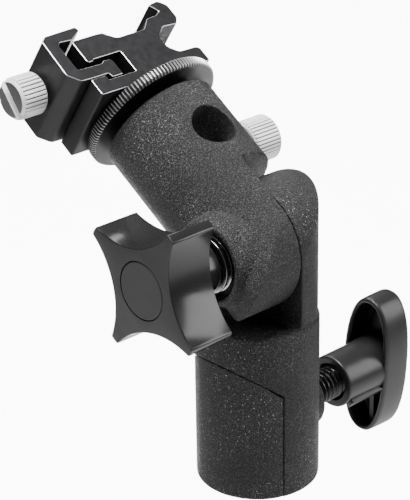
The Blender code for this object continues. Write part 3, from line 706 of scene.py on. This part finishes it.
# the clamp screw's knurl grooves get the dark nickel: painted shade
cs = made("clamp_screw_knurled", lathe(head_loop, 30 * 8, "X", serration(0.48, 8, KS),
                                       mat_fn=lambda i, k: 2 if (i < 3) else (1 if 7 <= i <= 11 and k % 8 in (5, 6) else 0)),
          AT_CLAMP, [M_BRIGHT, M_GROOVE_SHADE, M_END_SHADE], 30)
slot = bmesh.new()
bmesh.ops.create_cube(slot, size=1.0)
slot.transform(Matrix.Translation((-31.2, 0, 0)) @ Matrix.Rotation(math.radians(18.8), 4, "X") @
               Matrix.Diagonal((8.0, 1.7, 14.0, 1.0)))
boolean(cs, slot, "DIFFERENCE", 30, "MANIFOLD")
show(cs, "clamp_screw", "clamp_screw")

# umbrella lock screw head
US = KS
uloop = [(0, 21.7), (2.9, 21.7), (3.3, 22.0), (3.5, 22.4), (3.9, 22.6), (4.4, 22.6, 0.0), (4.8, 22.42, 0.15),
         (5.15, 22.1, 1.0), (5.15, 20.0, 1.0), (5.15, 17.4, 1.0), (5.15, 15.4, 1.0), (4.9, 15.1, 0.4),
         (4.6, 14.85, 0.0), (4.2, 14.8), (2.75, 14.8), (2.7, 15.0), (2.7, 20.2), (0, 20.2)]
# the umbrella screw's knurl grooves get the dark nickel: painted shade
uh = made("umbrella_screw_knurled", lathe(uloop, 38 * 8, "X", serration(0.40, 8, US),
                                           mat_fn=lambda i, k: 1 if 7 <= i <= 10 and k % 8 in (5, 6) else 0),
          AT_HOLE, [M_BRIGHT, M_GROOVE_SHADE], 30)
show(uh, "umbrella_knob", "umbrella_screw_head")
threaded("umbrella_screw_thread", AT_HOLE, [M_STEEL], 2.4, 0.42, 0.8, 4.0, 20.0, "umbrella_shank",
         "umbrella_screw_shank", tip0=0.5, tip1=0.3, seg=48, tail=5.0)


# --------------------------------------------------------------------------------------
# washers and bolt at the tilt joint
# --------------------------------------------------------------------------------------
wash = made("tilt_washer_turned", lathe([(3.4, -14.0), (6.05, -14.0)] + fillet((6.1, -14.1), 0.1, 90, 0, 3) +
                                        [(6.2, -14.6)] + fillet((6.1, -14.6), 0.1, 0, -90, 3) +
                                        [(3.4, -14.7)], 96, "X"), AT_HINGE, [M_WASHER])
show(wash, "head", "tilt_flat_washer")


def spring_washer():
    """Split ring whose two cut ends stand a little apart along the bolt."""
    bm = bmesh.new()
    n = 84
    sec = [(3.5, -0.35), (6.1, -0.35), (6.3, -0.18), (6.3, 0.18), (6.1, 0.35), (3.5, 0.35)]
    rings = []
    for k in range(n + 1):
        a = math.radians(4 + 352 * k / n)
        lift = (k / n - 0.5) * 0.16
        rings.append([bm.verts.new((-13.15 + 0.8 * z + lift, r * math.cos(a), r * math.sin(a))) for r, z in sec])
    for a, b in zip(rings, rings[1:]):
        for i in range(6):
            bm.faces.new((a[i], a[(i + 1) % 6], b[(i + 1) % 6], b[i]))
    bm.faces.new(rings[0])
    bm.faces.new(rings[-1])
    bmesh.ops.recalc_face_normals(bm, faces=bm.faces)
    return bm


sw = made("tilt_spring_ring", spring_washer(), AT_HINGE, [M_WASHER])
show(sw, "head", "tilt_spring_washer")

bolt_loop = [(0, 12.0), (4.2, 12.0), (4.7, 11.75), (4.7, 9.4), (0, 9.4)]
hexh = [(5.7 * math.cos(math.pi / 3 * (k + 0.5)), 5.7 * math.sin(math.pi / 3 * (k + 0.5))) for k in range(6)]
bolt = made("tilt_bolt_hex", prism(rounded([(p[0], p[1], 0.25) for p in hexh], 20), 9.2, 12.0, "X", 0.12, 0.0, 2),
            AT_HINGE, [M_BLACKST], 30)
boolean(bolt, lathe([(0, 5), (5.9, 5), (5.9, 11.45), (5.2, 12.05), (0, 12.05)], 72, "X", phase=0.4), "INTERSECT", 30)
# dished top of the forged head
boolean(bolt, lathe([(0, 11.65), (3.2, 11.65), (3.7, 12.6), (0, 12.6)], 64, "X", phase=0.2), "DIFFERENCE", 30)
shank = []


def bolt_thread(a, r, z, w, k):
    f = (z / 1.0 - a / (2 * math.pi)) % 1.0
    v = min(1.0, max(0.0, (abs(f - 0.5) * 2 - 0.12) / 0.70))
    return r - 0.5 * w * (1 - v)


sl = [(0, 9.5), (2.98, 9.5), (2.98, -8.0)]
for i in range(17 * 10 + 1):
    z = -8.2 - 16.2 * i / 170
    sl.append((2.98, z, min(1.0, 0.02 + i / 24)))
sl += [(2.5, -25.2), (0, -25.2)]
boolean(bolt, lathe(sl, 56, "X", bolt_thread, 0.15), "UNION", 38)
show(bolt, "base", "tilt_bolt")

# pieces that keep their CAD solid
for node, mat in (("socket_sleeve", M_STEEL), ("wing_thread_insert", M_BRASS), ("umbrella_thread_insert", M_STEEL),
                  ("tilt_knob_insert", M_BRASS), ("tilt_friction_disc", M_FIBRE), ("shoe_stud", M_STEEL),
                  ("shoe_washer", M_NYLON)):
    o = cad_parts[node]
    if o.material_slots:
        for s in o.material_slots:
            s.material = mat
    else:
        o.data.materials.append(mat)

# --------------------------------------------------------------------------------------
# camera, floor and light
# --------------------------------------------------------------------------------------
pos = Vector((-281.065, -284.999, 232.787)) * MM
right = Vector((0.72608755, -0.6874382, -0.01501975)).normalized()
up = Vector((0.29113139, 0.28756365, 0.91244159))
up = (up - right * up.dot(right)).normalized()
back = right.cross(up).normalized()
cam = bpy.data.cameras.new("camera")
cam.lens = 149.73
cam.sensor_width = 36.0
cam.clip_start, cam.clip_end = 0.01, 20.0
co = bpy.data.objects.new("camera", cam)
bpy.context.scene.collection.objects.link(co)
rot = Matrix((right, up, back)).transposed().to_4x4()
co.matrix_world = Matrix.Translation(pos) @ rot
bpy.context.scene.camera = co

# pale floor
bm = bmesh.new()
bmesh.ops.create_grid(bm, x_segments=8, y_segments=8, size=4.0)
fm = bpy.data.meshes.new("floor")
bm.to_mesh(fm)
bm.free()
floor = bpy.data.objects.new("floor", fm)
floor.location = (0, 0, -0.35)
bpy.context.scene.collection.objects.link(floor)
mf = Mat("floor_white", (0.93, 0.93, 0.93), 0.85)
nf = mf.noise(40.0, 3.0, 0.5)
mf.set(Base_Color=mf.ramp(nf, [(0.3, (0.925, 0.925, 0.925)), (0.7, (0.94, 0.94, 0.94))]))
fm.materials.append(mf.m)

w = bpy.data.worlds.new("studio")
bpy.context.scene.world = w
w.use_nodes = True
w.node_tree.nodes["Background"].inputs["Color"].default_value = (1.0, 1.0, 1.0, 1.0)
w.node_tree.nodes["Background"].inputs["Strength"].default_value = 0.14


def softbox(name, at, target, size, power, spread=180.0):
    L = bpy.data.lights.new(name, "AREA")
    L.shape = "RECTANGLE"
    L.size, L.size_y = size
    L.energy = power
    L.spread = math.radians(spread)
    o = bpy.data.objects.new(name, L)
    bpy.context.scene.collection.objects.link(o)
    o.location = at
    o.rotation_mode = "QUATERNION"
    o.rotation_quaternion = (Vector(target) - Vector(at)).to_track_quat("-Z", "Y")
    return o


d = Vector((math.sin(math.radians(43.05)), math.cos(math.radians(43.05)), 0.0))
patch = softbox("floor_light", (*(d * 1.03).xy, 0.20), (*(d * 1.03).xy, -0.35), (0.56, 1.12), 22.0, 12.0)
patch.rotation_mode = "XYZ"
patch.rotation_euler = (0, 0, -math.radians(43.05))
softbox("key_left", (-0.75, -0.10, 0.50), (0, 0.01, 0.05), (0.40, 0.6), 2.4)
softbox("top", (-0.05, 0.02, 0.95), (0, 0, 0.05), (0.45, 0.4), 22.0)
softbox("right_top", (0.70, -0.70, 0.45), (0, 0.0, 0.05), (0.60, 0.8), 8.0)
softbox("back_top", (0.30, 0.75, 0.75), (0, 0.0, 0.05), (0.60, 0.4), 5.0)
